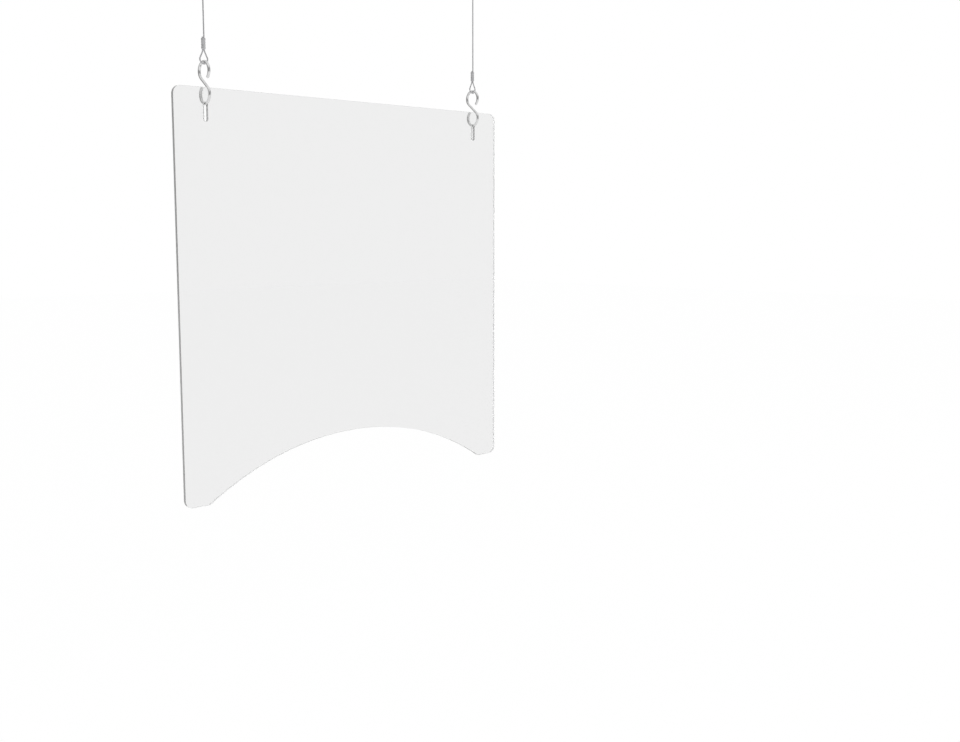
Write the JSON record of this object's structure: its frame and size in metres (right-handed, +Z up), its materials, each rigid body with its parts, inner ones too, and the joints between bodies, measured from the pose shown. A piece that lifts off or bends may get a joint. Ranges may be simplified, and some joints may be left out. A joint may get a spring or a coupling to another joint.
{
  "type": "hanging protective screen",
  "caption": "Clear sheet with an arched lower edge and slotted top corners, hung by S-hooks and crimped wire cables from screwed ceiling eyes.",
  "frame": {"origin": "in the ceiling plane, midway between the two ceiling plates", "axes": "+X along the sheet's width to the right, -Y towards the viewer in front of the sheet, +Z up out of the ceiling plane"},
  "size_m": [0.61, 0.056, 0.9093],
  "materials": {
    "clear_sheet": "clear cast acrylic, polished faces and edges",
    "hook_wire": "bright nickel plate",
    "wire_cable": "stranded galvanised wire",
    "ferrule": "crimped, satin",
    "zinc": "bright zinc plate",
    "plate": "white powder coat",
    "screw": "zinc plate"
  },
  "bodies": {
    "ceiling_fittings": {"ceiling_plate_left": "plate", "ceiling_plate_right": "plate", "eye_bolt_left": "zinc", "eye_bolt_right": "zinc", "eye_washer_left": "zinc", "eye_washer_right": "zinc", "eye_nut_left": "zinc", "eye_nut_right": "zinc", "ceiling_screws": "screw"},
    "upper_hook_left": {"upper_hook_left": "hook_wire"},
    "upper_hook_right": {"upper_hook_right": "hook_wire"},
    "cable_left": {"cable_left": "wire_cable", "lower_ferrule_left": "ferrule", "upper_ferrule_left": "ferrule"},
    "cable_right": {"cable_right": "wire_cable", "lower_ferrule_right": "ferrule", "upper_ferrule_right": "ferrule"},
    "lower_hook_left": {"lower_hook_left": "hook_wire"},
    "lower_hook_right": {"lower_hook_right": "hook_wire"},
    "panel": {"panel": "clear_sheet"}
  },
  "joints": [
    {"name": "swing_left", "type": "hinge", "parent": "ceiling_fittings", "child": "upper_hook_left", "pos_m": [-0.255, 0, -0.0286], "axis": [1, 0, 0], "range_deg": [-45, 45]},
    {"name": "sway_left", "type": "hinge", "parent": "upper_hook_left", "child": "cable_left", "pos_m": [-0.255, 0, -0.0813], "axis": [0, 1, 0], "range_deg": [-30, 30]},
    {"name": "level_left", "type": "hinge", "parent": "cable_left", "child": "lower_hook_left", "pos_m": [-0.255, 0, -0.2657], "axis": [0, 1, 0], "range_deg": [-30, 30]},
    {"name": "swing_right", "type": "hinge", "parent": "ceiling_fittings", "child": "upper_hook_right", "pos_m": [0.255, 0, -0.0286], "axis": [1, 0, 0], "range_deg": [-45, 45]},
    {"name": "sway_right", "type": "hinge", "parent": "upper_hook_right", "child": "cable_right", "pos_m": [0.255, 0, -0.0813], "axis": [0, 1, 0], "range_deg": [-30, 30]},
    {"name": "level_right", "type": "hinge", "parent": "cable_right", "child": "lower_hook_right", "pos_m": [0.255, 0, -0.2657], "axis": [0, 1, 0], "range_deg": [-30, 30]},
    {"name": "tilt", "type": "hinge", "parent": "lower_hook_left", "child": "panel", "pos_m": [-0.255, 0, -0.3102], "axis": [1, 0, 0], "range_deg": [-45, 45]}
  ],
  "couplings": [
    {"joint": "swing_right", "follows": "swing_left", "ratio": 1},
    {"joint": "sway_right", "follows": "sway_left", "ratio": 1},
    {"joint": "level_left", "follows": "sway_left", "ratio": -1},
    {"joint": "level_right", "follows": "sway_left", "ratio": -1}
  ]
}
